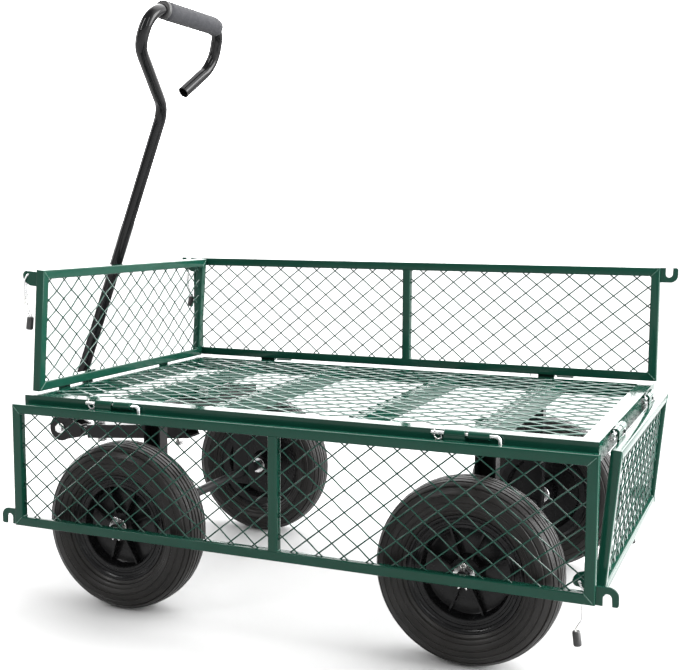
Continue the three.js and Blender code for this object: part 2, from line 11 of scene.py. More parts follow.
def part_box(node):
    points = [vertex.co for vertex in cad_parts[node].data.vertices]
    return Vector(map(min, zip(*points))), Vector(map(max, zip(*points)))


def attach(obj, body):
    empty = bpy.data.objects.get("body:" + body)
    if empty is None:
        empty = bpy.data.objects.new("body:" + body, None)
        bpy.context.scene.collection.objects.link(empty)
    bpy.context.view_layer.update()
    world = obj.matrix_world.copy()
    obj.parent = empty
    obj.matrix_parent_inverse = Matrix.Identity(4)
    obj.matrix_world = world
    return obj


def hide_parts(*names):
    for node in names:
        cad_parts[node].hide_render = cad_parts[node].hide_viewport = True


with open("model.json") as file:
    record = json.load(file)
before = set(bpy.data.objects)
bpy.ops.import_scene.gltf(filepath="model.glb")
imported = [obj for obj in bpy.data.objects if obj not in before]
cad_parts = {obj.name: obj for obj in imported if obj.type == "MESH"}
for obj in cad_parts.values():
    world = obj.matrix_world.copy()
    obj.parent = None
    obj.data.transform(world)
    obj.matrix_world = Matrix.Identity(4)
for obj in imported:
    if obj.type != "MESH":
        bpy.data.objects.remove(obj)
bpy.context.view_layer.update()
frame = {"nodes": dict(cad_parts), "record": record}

RECORD = frame["record"]
JOINTS = {j["name"]: j for j in RECORD["behaviour"]["joints"]}
MM = 0.001


# ------------------------------------------------------------------ places taken from the frame
def centre(node):
    lo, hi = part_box(node)
    return (Vector(lo) + Vector(hi)) / 2


def pivot(joint):
    return Vector(JOINTS[joint]["pos_m"])


BED_LO, BED_HI = (Vector(v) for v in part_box("bed_mesh"))
MID = Vector(((BED_LO.x + BED_HI.x) / 2, (BED_LO.y + BED_HI.y) / 2, 0.0))
RAIL = 14 * MM
RAIL_UP = 7.5 * MM
RAIL_OFF = 6 * MM
PANEL_H = 187 * MM
SIDE_HALF = 437.5 * MM
END_HALF = 246 * MM
TOP = RAIL_UP + PANEL_H


# ------------------------------------------------------------------ node materials
def new_material(name):
    m = bpy.data.materials.new(name)
    m.use_nodes = True
    nt = m.node_tree
    bsdf = nt.nodes["Principled BSDF"]
    coords = nt.nodes.new("ShaderNodeTexCoord")
    return m, nt, bsdf, coords.outputs["Object"]


def noise(nt, coords, scale, detail=2.0, rough=0.5):
    n = nt.nodes.new("ShaderNodeTexNoise")
    n.inputs["Scale"].default_value = scale
    n.inputs["Detail"].default_value = detail
    n.inputs["Roughness"].default_value = rough
    nt.links.new(coords, n.inputs["Vector"])
    return n.outputs["Fac"]


def ramp(nt, fac, stops):
    r = nt.nodes.new("ShaderNodeValToRGB")
    r.color_ramp.elements[0].position = stops[0][0]
    r.color_ramp.elements[0].color = (*stops[0][1], 1)
    r.color_ramp.elements[1].position = stops[-1][0]
    r.color_ramp.elements[1].color = (*stops[-1][1], 1)
    for pos, col in stops[1:-1]:
        e = r.color_ramp.elements.new(pos)
        e.color = (*col, 1)
    nt.links.new(fac, r.inputs["Fac"])
    return r.outputs["Color"]


def span(nt, fac, lo, hi, a=0.3, b=0.7):
    r = nt.nodes.new("ShaderNodeMapRange")
    r.inputs["From Min"].default_value = a
    r.inputs["From Max"].default_value = b
    r.inputs["To Min"].default_value = lo
    r.inputs["To Max"].default_value = hi
    nt.links.new(fac, r.inputs["Value"])
    return r.outputs["Result"]


def bump(nt, bsdf, layers):
    """layers: (height output, strength, distance) from coarse to fine."""
    last = None
    for height, strength, distance in layers:
        b = nt.nodes.new("ShaderNodeBump")
        b.inputs["Strength"].default_value = strength
        b.inputs["Distance"].default_value = distance
        nt.links.new(height, b.inputs["Height"])
        if last is not None:
            nt.links.new(last, b.inputs["Normal"])
        last = b.outputs["Normal"]
    nt.links.new(last, bsdf.inputs["Normal"])


def coated(name, dark, light, rough, peel, specular):
    """Powder coat: faint orange peel, cloudy tone, roughness between the two values of rough."""
    m, nt, bsdf, co = new_material(name)
    bsdf.inputs["Specular IOR Level"].default_value = specular
    tone = noise(nt, co, 14, 4, 0.6)
    nt.links.new(ramp(nt, tone, [(0.25, dark), (0.75, light)]), bsdf.inputs["Base Color"])
    nt.links.new(span(nt, noise(nt, co, 45, 5, 0.65), rough[0], rough[1]), bsdf.inputs["Roughness"])
    bump(nt, bsdf, [
        (noise(nt, co, 110, 2), peel * 0.4, 0.0003),
        (noise(nt, co, 520, 2), peel, 0.00008),
    ])
    return m


GREEN_DARK = (0.0035, 0.031, 0.019)
GREEN_LIGHT = (0.0045, 0.038, 0.025)
BLACK_DARK = (0.006, 0.006, 0.0065)
BLACK_LIGHT = (0.012, 0.012, 0.012)
SMOOTH_PEEL = 0.03

GREEN = coated("green_powder_coat", GREEN_DARK, GREEN_LIGHT, (0.09, 0.14), SMOOTH_PEEL, 0.18)
WIRE = coated(
    "green_wire_coat", (0.003, 0.030, 0.020), (0.005, 0.042, 0.028), (0.12, 0.18), SMOOTH_PEEL, 0.3)
# Bed strands: the frame's green paint given a lighter base colour, a painted highlight for the bright
# reflection on the deck's top.
BED_STRAND_LIT_GREEN = coated(
    "green_bed_coat_painted_highlight", (0.004, 0.046, 0.029), (0.006, 0.060, 0.040), (0.12, 0.2), SMOOTH_PEEL, 0.45)
BLACK = coated(
    "black_powder_coat", (0.003, 0.003, 0.0033), (0.006, 0.006, 0.0065), (0.08, 0.13), SMOOTH_PEEL, 0.22)
CHASSIS_BLACK = coated("black_chassis_coat", BLACK_DARK, BLACK_LIGHT, (0.26, 0.4), 0.2, 0.14)


def two_coats(name, upper, lower, level):
    """The bed's green coat on top, the running gear's black below a height."""
    m, nt, bsdf, co = new_material(name)
    bsdf.inputs["Specular IOR Level"].default_value = 0.14
    split = nt.nodes.new("ShaderNodeSeparateXYZ")
    nt.links.new(co, split.inputs["Vector"])
    high = span(nt, split.outputs["Z"], 0.0, 1.0, level - 0.0004, level + 0.0004)
    mix = nt.nodes.new("ShaderNodeMix")
    mix.data_type = "RGBA"
    nt.links.new(high, mix.inputs[0])
    tone = noise(nt, co, 14, 4, 0.6)
    nt.links.new(ramp(nt, tone, [(0.25, lower[0]), (0.75, lower[1])]), mix.inputs[6])
    nt.links.new(ramp(nt, tone, [(0.25, upper[0]), (0.75, upper[1])]), mix.inputs[7])
    nt.links.new(mix.outputs[2], bsdf.inputs["Base Color"])
    nt.links.new(span(nt, noise(nt, co, 45, 5, 0.65), 0.16, 0.26), bsdf.inputs["Roughness"])
    bump(nt, bsdf, [(noise(nt, co, 520, 2), 0.04, 0.0001)])
    return m


COAT_SPLIT_Z = 0.2905
SUPPORT_COAT = two_coats(
    "support_coat", (GREEN_DARK, GREEN_LIGHT), (BLACK_DARK, BLACK_LIGHT), COAT_SPLIT_Z)


def zinc_material():
    m, nt, bsdf, co = new_material("zinc_plate")
    cloud = noise(nt, co, 60, 5, 0.7)
    tints = [(0.2, (0.52, 0.53, 0.56)), (0.5, (0.68, 0.68, 0.68)), (0.8, (0.78, 0.76, 0.70))]
    nt.links.new(ramp(nt, cloud, tints), bsdf.inputs["Base Color"])
    bsdf.inputs["Metallic"].default_value = 1.0
    nt.links.new(span(nt, noise(nt, co, 130, 6, 0.7), 0.16, 0.38), bsdf.inputs["Roughness"])
    bump(nt, bsdf, [(noise(nt, co, 900, 3), 0.2, 0.00012)])
    return m


def tyre_material():
    m, nt, bsdf, co = new_material("tyre_rubber")
    dust = noise(nt, co, 22, 6, 0.65)
    tones = [(0.3, (0.0065, 0.006, 0.0056)), (0.7, (0.013, 0.012, 0.0112))]
    nt.links.new(ramp(nt, dust, tones), bsdf.inputs["Base Color"])
    nt.links.new(span(nt, noise(nt, co, 60, 4), 0.32, 0.48), bsdf.inputs["Roughness"])
    bsdf.inputs["Specular IOR Level"].default_value = 0.22
    bump(nt, bsdf, [
        (noise(nt, co, 90, 3), 0.12, 0.0008),
        (noise(nt, co, 1400, 2), 0.25, 0.00012),
    ])
    return m


def rim_material():
    m, nt, bsdf, co = new_material("rim_moulded_plastic")
    tones = [(0.3, (0.004, 0.004, 0.0042)), (0.7, (0.008, 0.008, 0.0085))]
    nt.links.new(ramp(nt, noise(nt, co, 30, 5, 0.6), tones), bsdf.inputs["Base Color"])
    nt.links.new(span(nt, noise(nt, co, 70, 4), 0.18, 0.3), bsdf.inputs["Roughness"])
    bsdf.inputs["Specular IOR Level"].default_value = 0.16
    bump(nt, bsdf, [(noise(nt, co, 1100, 2), 0.3, 0.00012), (noise(nt, co, 120, 2), 0.1, 0.0006)])
    return m


def foam_material():
    m, nt, bsdf, co = new_material("foam_grip")
    tones = [(0.3, (0.017, 0.0175, 0.020)), (0.7, (0.031, 0.0315, 0.035))]
    nt.links.new(ramp(nt, noise(nt, co, 240, 6, 0.75), tones), bsdf.inputs["Base Color"])
    nt.links.new(span(nt, noise(nt, co, 90, 3), 0.62, 0.82), bsdf.inputs["Roughness"])
    bsdf.inputs["Specular IOR Level"].default_value = 0.12
    bsdf.inputs["Sheen Weight"].default_value = 0.05
    bsdf.inputs["Sheen Roughness"].default_value = 0.45
    cells = nt.nodes.new("ShaderNodeTexVoronoi")
    cells.inputs["Scale"].default_value = 900
    nt.links.new(co, cells.inputs["Vector"])
    bump(nt, bsdf, [
        (noise(nt, co, 130, 3), 0.25, 0.0008),
        (cells.outputs["Distance"], 0.5, 0.00035),
    ])
    return m


def sleeve_material():
    m, nt, bsdf, co = new_material("latch_sleeve_rubber")
    tones = [(0.3, (0.010, 0.010, 0.010)), (0.7, (0.020, 0.020, 0.020))]
    nt.links.new(ramp(nt, noise(nt, co, 120, 4), tones), bsdf.inputs["Base Color"])
    nt.links.new(span(nt, noise(nt, co, 300, 3), 0.4, 0.58), bsdf.inputs["Roughness"])
    bump(nt, bsdf, [(noise(nt, co, 1200, 2), 0.3, 0.00015)])
    return m


def weld_material(name, colours):
    """Coat laid over a rippled weld bead."""
    m, nt, bsdf, co = new_material(name)
    nt.links.new(ramp(nt, noise(nt, co, 200, 4), colours), bsdf.inputs["Base Color"])
    nt.links.new(span(nt, noise(nt, co, 350, 3), 0.25, 0.45), bsdf.inputs["Roughness"])
    bsdf.inputs["Coat Weight"].default_value = 0.4
    bump(nt, bsdf, [(noise(nt, co, 420, 4, 0.6), 0.6, 0.0006)])
    return m


ZINC = zinc_material()
TYRE = tyre_material()
RIM = rim_material()
FOAM = foam_material()
SLEEVE = sleeve_material()
GREEN_WELD = weld_material("green_weld_bead", [(0.3, (0.004, 0.05, 0.03)), (0.7, (0.008, 0.075, 0.048))])


# ------------------------------------------------------------------ mesh helpers
def add_mesh(name, verts, faces, material, body, smooth):
    mesh = bpy.data.meshes.new(name)
    mesh.from_pydata([tuple(v) for v in verts], [], [tuple(f) for f in faces])
    mesh.materials.append(material)
    obj = bpy.data.objects.new(name, mesh)
    bpy.context.scene.collection.objects.link(obj)
    bm = bmesh.new()
    bm.from_mesh(mesh)
    bmesh.ops.recalc_face_normals(bm, faces=bm.faces)
    limit = math.radians(smooth)
    for f in bm.faces:
        f.smooth = True
    for e in bm.edges:
        e.smooth = len(e.link_faces) == 2 and e.calc_face_angle(0.0) < limit
    bm.to_mesh(mesh)
    bm.free()
    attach(obj, body)
    return obj


class Pieces:
    """Collects several closed solids that become one object."""

    def __init__(self):
        self.verts = []
        self.faces = []

    def add(self, verts, faces):
        base = len(self.verts)
        self.verts.extend(Vector(v) for v in verts)
        self.faces.extend([tuple(i + base for i in f) for f in faces])

    def moved(self, place):
        self.verts = [place @ v for v in self.verts]
        return self


def path_frames(points):
    points = [Vector(p) for p in points]
    tangents = []
    for i, _ in enumerate(points):
        a = points[max(i - 1, 0)]
        b = points[min(i + 1, len(points) - 1)]
        tangents.append((b - a).normalized())
    helper = Vector((0, 1, 0)) if abs(tangents[0].y) < 0.9 else Vector((1, 0, 0))
    side = tangents[0].cross(helper).normalized()
    frames = []
    for i, t in enumerate(tangents):
        if i:
            side = tangents[i - 1].rotation_difference(t) @ side
        side = (side - t * side.dot(t)).normalized()
        frames.append((points[i], side, t.cross(side)))
    return frames


def sweep(points, radius, sides):
    """Round bar along points. radius may be a list with one value per point."""
    verts, faces = [], []
    frames = path_frames(points)
    n = len(frames)
    for i, (p, side, up) in enumerate(frames):
        r = radius[i] if isinstance(radius, (list, tuple)) else radius
        for k in range(sides):
            a = 2 * math.pi * k / sides
            verts.append(p + side * (math.cos(a) * r) + up * (math.sin(a) * r))
    for i in range(n - 1):
        for k in range(sides):
            a, b = i * sides + k, i * sides + (k + 1) % sides
            faces.append((a, b, b + sides, a + sides))
    faces.append(tuple(range(sides))[::-1])
    faces.append(tuple((n - 1) * sides + k for k in range(sides)))
    return verts, faces


def rounded(points, radii, steps=8):
    pts = [Vector(p) for p in points]
    out = [pts[0]]
    for i in range(1, len(pts) - 1):
        a = (pts[i - 1] - pts[i]).normalized()
        b = (pts[i + 1] - pts[i]).normalized()
        half = a.angle(b) / 2
        r = radii[i - 1]
        c = pts[i] + (a + b).normalized() * (r / math.sin(half))
        s = pts[i] + a * (r / math.tan(half)) - c
        e = pts[i] + b * (r / math.tan(half)) - c
        ang = s.angle(e)
        for k in range(steps + 1):
            t = k / steps
            from_start = math.sin((1 - t) * ang) / math.sin(ang)
            from_end = math.sin(t * ang) / math.sin(ang)
            out.append(c + s * from_start + e * from_end)
    out.append(pts[-1])
    return out


def refined(points, step):
    """The same path with points no further apart than step."""
    out = [points[0]]
    for a, b in zip(points, points[1:]):
        n = max(1, int(math.ceil((b - a).length / step)))
        out.extend(a + (b - a) * (k / n) for k in range(1, n + 1))
    return out


def lathe(profile, segments, axis_centre, outward):
    """profile of (radius, offset out from the wheel's centre), a closed loop, turned about Y."""
    verts, faces = [], []
    n = len(profile)
    for s in range(segments):
        a = 2 * math.pi * s / segments
        for r, y in profile:
            verts.append(axis_centre + Vector((r * math.cos(a), outward * y, r * math.sin(a))))
    for s in range(segments):
        t = (s + 1) % segments
        for k in range(n):
            m = (k + 1) % n
            faces.append((s * n + k, s * n + m, t * n + m, t * n + k))
    return verts, faces


def block(lo, hi):
    """A box between two corners; its piece's modifier rounds the edges."""
    lo, hi = Vector(lo), Vector(hi)
    bm = bmesh.new()
    bmesh.ops.create_cube(bm, size=1.0)
    size = hi - lo
    mid = (hi + lo) / 2
    for v in bm.verts:
        v.co = Vector((v.co.x * size.x, v.co.y * size.y, v.co.z * size.z)) + mid
    verts = [v.co.copy() for v in bm.verts]
    faces = [[v.index for v in f.verts] for f in bm.faces]
    bm.free()
    return verts, faces


# ------------------------------------------------------------------ CAD nodes that stay
def rounded_edges(obj, width):
    bevel = obj.modifiers.new("bevel", "BEVEL")
    bevel.width = width
    bevel.segments = 2
    bevel.limit_method = "ANGLE"
    bevel.angle_limit = math.radians(40)


def soften(node, width, material):
    """Gives a CAD node its material and rounded edges."""
    obj = frame["nodes"][node]
    if not obj.material_slots:
        obj.data.materials.append(material)
    for s in obj.material_slots:
        s.material = material
    weld = obj.modifiers.new("weld", "WELD")
    weld.merge_threshold = 1e-6
    rounded_edges(obj, width)


FRAME_EDGE = 0.5 * MM
BOLT_EDGE = 0.3 * MM
for node in ("bed_frame", "front_bolster"):
    soften(node, FRAME_EDGE, GREEN)
soften("rear_support", FRAME_EDGE, SUPPORT_COAT)
for node in ("steer_fork", "drawbar", "yoke", "front_axle", "rear_axle"):
    soften(node, FRAME_EDGE, CHASSIS_BLACK)
for node in ("kingpin", "thrust_washer", "tongue_bolt", "yoke_bolt", "pivot_bolt"):
    soften(node, BOLT_EDGE, ZINC)


# ------------------------------------------------------------------ folding panel frames
KNUCKLE_R = 5.5 * MM
KNUCKLE_BORE = 3.2 * MM
KNUCKLE_HALF = 14 * MM
KNUCKLE_STEP = KNUCKLE_HALF + 2 * MM
TUBE_CORNER = 2.0 * MM
SIDE_HINGE = 268 * MM
END_HINGE = 148 * MM
OUT_FACE = -RAIL_OFF
IN_FACE = -RAIL_OFF - RAIL
HOOK_MID = -12.5 * MM
HOOK_THICK = 3 * MM
BRACKET_OUT = 240 * MM
BRACKET_THICK = 2 * MM


def panel_place(joint, heading, fold):
    return (
        Matrix.Translation(pivot(joint))
        @ Matrix.Rotation(math.radians(heading), 4, "Z")
        @ Matrix.Rotation(math.radians(-fold), 4, "X")
    )


# name: joint, heading of the panel's length, angle from upright, body, half length, knuckle side
PANELS = {
    "left": ("fold_left_side", 180, 180, "left_side", SIDE_HALF, 1),
    "right": ("fold_right_side", 0, 0, "right_side", SIDE_HALF, -1),
    "front": ("fold_front_end", 90, -4, "front_end", END_HALF, -1),
    "rear": ("fold_rear_end", -90, 184.9, "rear_end", END_HALF, 1),
}


def tube_section():
    """Square tube with rounded corners: (depth in from the frame's outer edge, across the panel)."""
    out = []
    c = RAIL / 2 - TUBE_CORNER
    for k, (a, b) in enumerate(((1, 1), (-1, 1), (-1, -1), (1, -1))):
        for j in range(5):
            t = math.pi / 2 * (k + j / 4)
            out.append((RAIL / 2 + a * c + TUBE_CORNER * math.cos(t), b * c + TUBE_CORNER * math.sin(t)))
    return out


def frame_loop(half):
    """The four mitred rails as one ring of tube."""
    section = tube_section()
    n = len(section)
    mid_w = RAIL_UP + PANEL_H / 2
    verts, faces = [], []
    for su, sw in ((-1, -1), (1, -1), (1, 1), (-1, 1)):
        for depth, across in section:
            w = mid_w + sw * (PANEL_H / 2 - depth)
            verts.append((su * (half - depth), OUT_FACE - RAIL / 2 + across, w))
    for i in range(4):
        for k in range(n):
            a, b = i * n + k, i * n + (k + 1) % n
            c = (i + 1) % 4 * n
            faces.append((a, b, c + (k + 1) % n, c + k))
    return verts, faces


def stile(u, w0, w1):
    section = tube_section()
    n = len(section)
    verts = [(u + d - RAIL / 2, OUT_FACE - RAIL / 2 + a, w) for w in (w0, w1) for d, a in section]
    faces = [(k, (k + 1) % n, (k + 1) % n + n, k + n) for k in range(n)]
    faces += [tuple(range(n))[::-1], tuple(range(n, 2 * n))]
    return verts, faces


def barrel(u, half, outer, bore):
    """Rolled knuckle, its bore along the hinge line."""
    profile = [(bore, -half), (outer - 0.5 * MM, -half), (outer, -half + 0.5 * MM),
               (outer, half - 0.5 * MM), (outer - 0.5 * MM, half), (bore, half)]
    verts, faces = [], []
    n, turns = len(profile), 36
    for i in range(turns):
        a = 2 * math.pi * i / turns
        verts += [(u + x, r * math.cos(a), r * math.sin(a)) for r, x in profile]
    for i in range(turns):
        j = (i + 1) % turns
        faces += [(i * n + k, i * n + (k + 1) % n, j * n + (k + 1) % n, j * n + k) for k in range(n)]
    return verts, faces


def arc(cx, cy, r, start, end, n):
    turn = [math.radians(start + (end - start) * i / n) for i in range(n + 1)]
    return [(cx + r * math.cos(a), cy + r * math.sin(a)) for a in turn]


def flat_plate(outline, thick, place, hole=None):
    """Extruded outline in the local XY plane, centred on its thickness."""
    loops = [outline] + ([hole] if hole else [])
    flat = [p for loop in loops for p in loop]
    tris = tessellate_polygon([[Vector((x, y, 0)) for x, y in loop] for loop in loops])
    n = len(flat)
    verts = [place @ Vector((x, y, z)) for z in (-thick / 2, thick / 2) for x, y in flat]
    faces = [tuple(t) for t in tris] + [tuple(i + n for i in reversed(t)) for t in tris]
    start = 0
    for loop in loops:
        m = len(loop)
        for k in range(m):
            a, b = start + k, start + (k + 1) % m
            faces.append((a, b, b + n, a + n))
        start += m
    return verts, faces


def in_mm(points):
    return [(x * MM, y * MM) for x, y in points]


def hook_plate(half, s):
    """Flat hook at the panel's free corner; its slot takes the wire of a corner latch."""
    h, t = half / MM, TOP / MM
    x0, w0 = h - 6, t - 24
    outline = [
        (x0, w0), (h + 16, w0), *arc(h + 16, w0 + 12, 12, -90, 0, 12)[1:], (h + 28, t - 3),
        *arc(h + 25, t - 3, 3, 0, 90, 4)[1:], (h + 20, t),
        *arc(h + 14, t - 10, 5.5, 0, -180, 16), (h + 8.5, t), (x0, t),
    ]
    upright = Matrix.Translation((0, HOOK_MID, 0)) @ Matrix.Rotation(math.pi / 2, 4, "X")
    return flat_plate(in_mm([(s * a, b) for a, b in outline]), HOOK_THICK, upright)


def latch_bracket(s):
    """Bracket across the end panel's outer face, with the hole that the latch wire turns in."""
    t = TOP / MM
    outline = [
        (-7, t - 26), (8, t - 26), (17, t - 22), (21.5, t - 16),
        *arc(15.5, t - 11, 7, 0, 90, 8), (-7, t - 4),
    ]
    hole = arc(13.5, t - 10, 2.2, 0, 340, 17)
    across = Matrix(((0, 0, 1, s * BRACKET_OUT), (1, 0, 0, 0), (0, 1, 0, 0), (0, 0, 0, 1)))
    return flat_plate(in_mm(outline), BRACKET_THICK, across, in_mm(hole))


def bead(a, b, radius):
    """A run of weld: overlapping ripples along a short line, tapered at its ends."""
    a, b = Vector(a), Vector(b)
    ripples = max(2, int((b - a).length / (1.5 * MM)))
    pts, radii = [], []
    for i in range(ripples * 4 + 1):
        t = i / (ripples * 4)
        taper = min(1.0, 0.45 + 4 * min(t, 1 - t))
        pts.append(a + (b - a) * t)
        radii.append(radius * taper * (1 + 0.14 * math.cos(2 * math.pi * t * ripples)))
    return sweep(pts, radii, 10)


def panel_frame(name, joint, heading, fold, body, half, flip):
    place = panel_place(joint, heading, fold)
    side = half == SIDE_HALF
    tubes, plates, welds = Pieces(), Pieces(), Pieces()
    tubes.add(*frame_loop(half))
    low, high = RAIL_UP + RAIL, TOP - RAIL
    if side:
        tubes.add(*stile(0.0, low - 0.5 * MM, high + 0.5 * MM))
    for s in (-1, 1):
        u = s * (SIDE_HINGE if side else END_HINGE) + flip * KNUCKLE_STEP
        tubes.add(*barrel(u, KNUCKLE_HALF, KNUCKLE_R, KNUCKLE_BORE))
        u0, u1 = u - KNUCKLE_HALF, u + KNUCKLE_HALF
        plates.add(*block((u0, -5.3 * MM, 1 * MM), (u1, -3.4 * MM, 17 * MM)))
        for w in (17 * MM, 8.5 * MM):
            welds.add(*bead((u0, -5.2 * MM, w), (u1, -5.2 * MM, w), 1.1 * MM))
        plates.add(*(hook_plate(half, s) if side else latch_bracket(s)))
        if side:
            end = s * half
            welds.add(*bead((end, -11 * MM, TOP - 23 * MM), (end, -11 * MM, TOP - 2 * MM), 1.3 * MM))
        else:
            for du in (-1, 1):
                at = s * BRACKET_OUT + du * MM
                welds.add(*bead((at, OUT_FACE, TOP - 25 * MM), (at, OUT_FACE, TOP - 5 * MM), 1.0 * MM))
        corner = s * (half - RAIL)
        for w in (low, high):
            welds.add(*bead(
                (corner, IN_FACE + 1.5 * MM, w), (corner, OUT_FACE - 1.5 * MM, w), 1.7 * MM))
            if side:
                post = s * RAIL / 2
                welds.add(*bead((post, IN_FACE + 2 * MM, w), (post, OUT_FACE - 2 * MM, w), 1.7 * MM))
        for w, inner in ((RAIL_UP, low), (TOP, high)):
            for v in (IN_FACE, OUT_FACE):
                welds.add(*bead(
                    (s * (half - 2.5 * MM), v, w + (inner - w) * 0.18), (corner, v, inner), 0.75 * MM))
    pieces = [
        add_mesh(f"frame_{name}_tube", tubes.moved(place).verts, tubes.faces, GREEN, body, 32),
        add_mesh(f"frame_{name}_plates", plates.moved(place).verts, plates.faces, GREEN, body, 32),
        add_mesh(f"frame_{name}_welds", welds.moved(place).verts, welds.faces, GREEN_WELD, body, 60),
    ]
    rounded_edges(pieces[1], FRAME_EDGE)
    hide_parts(f"panel_{name}")


for name, spec in PANELS.items():
    panel_frame(name, *spec)


# ------------------------------------------------------------------ woven panels
WIRE_R = 1.06 * MM
DIAMOND_A = 37 * MM
DIAMOND_B = 30 * MM
WIRE_REACH = 2 * MM
WIRE_CRIMP = 0.85
SHORTEST_RUN = 6 * MM


def woven(half_a, half_b, place):
    """Crimped wires woven over and under in a diamond pattern, local x along and z up."""
    out = Pieces()
    slope = DIAMOND_B / DIAMOND_A
    a_max, b_max = half_a + WIRE_REACH, half_b + WIRE_REACH
    count = int((a_max * slope + b_max) / DIAMOND_B) + 1
    for sign in (1, -1):
        for k in range(-count, count + 1):
            c = k * DIAMOND_B + DIAMOND_B / 2
            lo = max(-a_max, min((-b_max - c) / (sign * slope), (b_max - c) / (sign * slope)))
            hi = min(a_max, max((-b_max - c) / (sign * slope), (b_max - c) / (sign * slope)))
            if hi - lo < SHORTEST_RUN:
                continue
            step = DIAMOND_A / 8
            stations = [lo] + [s * step for s in range(math.ceil(lo / step), int(hi // step) + 1)] + [hi]
            pts = []
            for a in stations:
                crimp = sign * WIRE_R * WIRE_CRIMP * math.cos(2 * math.pi * a / DIAMOND_A)
                pts.append(place @ Vector((a, crimp, sign * slope * a + c)))
            out.add(*sweep(pts, WIRE_R, 6))
    return out


MESH_V = -RAIL_OFF - RAIL / 2
for name, (joint, heading, fold, body, half, _) in PANELS.items():
    place = panel_place(joint, heading, fold)
    half_b = PANEL_H / 2 - RAIL
    if half == SIDE_HALF:
        bay = (half - RAIL * 1.5) / 2
        bays = [(s * (RAIL / 2 + bay), bay, s) for s in (-1, 1)]
    else:
        bays = [(0.0, half - RAIL, 0)]
    for offset, half_a, s in bays:
        at = place @ Matrix.Translation((offset, MESH_V, RAIL_UP + PANEL_H / 2))
        wires = woven(half_a, half_b, at)
        node = f"mesh_{name}"
        if s:
            node += "_rear" if (at.translation.x > MID.x) else "_front"
        obj = add_mesh(f"wires_{name}_{'ab'[s > 0]}", wires.verts, wires.faces, WIRE, body, 50)
        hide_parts(node)


# ------------------------------------------------------------------ expanded-metal bed
BED_PITCH_X = 54 * MM
BED_PITCH_Y = 35.4 * MM
STRAND_TILT = math.radians(20)
STRAND_HALF = 0.9
STRAND_WIDEN = 0.5
STRAND_THICK = 0.62 * MM
BED_REACH = 3 * MM
STRAND_CORNERS = ((-1, -1), (1, -1), (1, 1), (-1, 1))


def expanded_bed():
    """Slit and stretched sheet: slanted flat strands that widen where they join their neighbours."""
    out = Pieces()
    half_x = (BED_HI.x - BED_LO.x) / 2 + BED_REACH
    half_y = (BED_HI.y - BED_LO.y) / 2 + BED_REACH
    z = (BED_LO.z + BED_HI.z) / 2
    slope = BED_PITCH_Y / BED_PITCH_X
    count = int((half_x * slope + half_y) / BED_PITCH_Y) + 1
    step = BED_PITCH_X / 12
    for sign in (1, -1):
        along = Vector((1, sign * slope, 0)).normalized()
        flat = Vector((-along.y, along.x, 0))
        wide = flat * math.cos(STRAND_TILT) + Vector((0, 0, math.sin(STRAND_TILT)))
        thin = along.cross(wide)
        for k in range(-count, count + 1):
            c = k * BED_PITCH_Y + BED_PITCH_Y / 2
            ends = sorted(((-half_y - c) / (sign * slope), (half_y - c) / (sign * slope)))
            lo, hi = max(-half_x, ends[0]), min(half_x, ends[1])
            if hi - lo < SHORTEST_RUN:
                continue
            stations = [lo] + [i * step for i in range(math.ceil(lo / step), int(hi // step) + 1)] + [hi]
            verts, faces = [], []
            for x in stations:
                join = math.cos(2 * math.pi * x / BED_PITCH_X) ** 2
                w = (STRAND_HALF + STRAND_WIDEN * join ** 3) * MM
                p = Vector((MID.x + x, MID.y + sign * slope * x + c, z))
                verts += [p + wide * (a * w) + thin * (b * STRAND_THICK) for a, b in STRAND_CORNERS]
            for i in range(len(stations) - 1):
                for m in range(4):
                    a, b = i * 4 + m, i * 4 + (m + 1) % 4
                    faces.append((a, b, b + 4, a + 4))
            faces.append((3, 2, 1, 0))
            faces.append(tuple(len(verts) - 4 + m for m in range(4)))
            out.add(verts, faces)
    return out


bed = expanded_bed()
obj = add_mesh("bed_expanded_metal", bed.verts, bed.faces, BED_STRAND_LIT_GREEN, "chassis", 35)
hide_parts("bed_mesh")


# ------------------------------------------------------------------ wheels
def tyre_profile():
    """Outside half listed from bead to crown in mm, with sidewall rings and tread grooves."""
    side = [
        (80.4, 20), (80.6, 25.5), (83.5, 27.6), (85.5, 27.4), (86.3, 29.4), (89, 31.2), (91.2, 31.6),
        (91.9, 33.0), (95, 34.6), (98, 35.4), (98.7, 34.7), (99.8, 34.7), (100.5, 35.8), (104, 35.6),
        (107.5, 34.6), (108.2, 33.6), (109.3, 33.2), (110.1, 33.8), (113.5, 32.2), (116.5, 30.0),
        (117.2, 28.3), (118.2, 27.4), (119.4, 28.0), (121.6, 25.2), (123, 22.6), (122.0, 21.6),
        (122.4, 20.4), (124.2, 20.2), (125.6, 16.2), (124.0, 15.4), (124.2, 14.0), (126.0, 13.4),
        (126.7, 9.6), (125.0, 9.0), (125.1, 7.4), (126.9, 6.8), (127.0, 2.2), (125.3, 1.6),
        (125.3, 0.0),
    ]
    other = [(r, -y) for r, y in reversed(side[:-1])]
    return [(r * MM, y * MM) for r, y in side + other]


# Both in mm: (radius, offset out from the wheel's centre).
RIM_PROFILE = [
    (8.4, 24), (13.5, 24), (14.5, 23), (14.8, 21), (18.5, 20.5), (21, 19.5), (22, 8), (24, 4.6),
    (40, 3.6), (55, 4.2), (58.5, 6), (60.5, 12), (61.5, 20.5), (62.6, 21.8), (66, 21.8),
    (66.8, 20.6), (69.5, 20.6), (70.3, 21.8), (73.5, 22.4), (74.4, 23.8), (77.5, 25.6),
    (79.6, 25.6), (80.2, 24.4), (80.2, -24.4), (79.6, -25.6), (77.5, -25.6), (74, -22.5),
    (63, -21.5), (61, -19), (58, -2), (40, -0.6), (24, -1), (21, -8), (18, -24), (8.4, -24),
]
RIB_PROFILE = [
    (19, 19), (24, 18.6), (40, 15.5), (52, 13), (59.5, 12.6), (62, 12.6), (62, 3.2), (19, 3.2),
]
RIB_COUNT = 8
RIB_HALF = 1.7
RIB_TAPER = 0.4
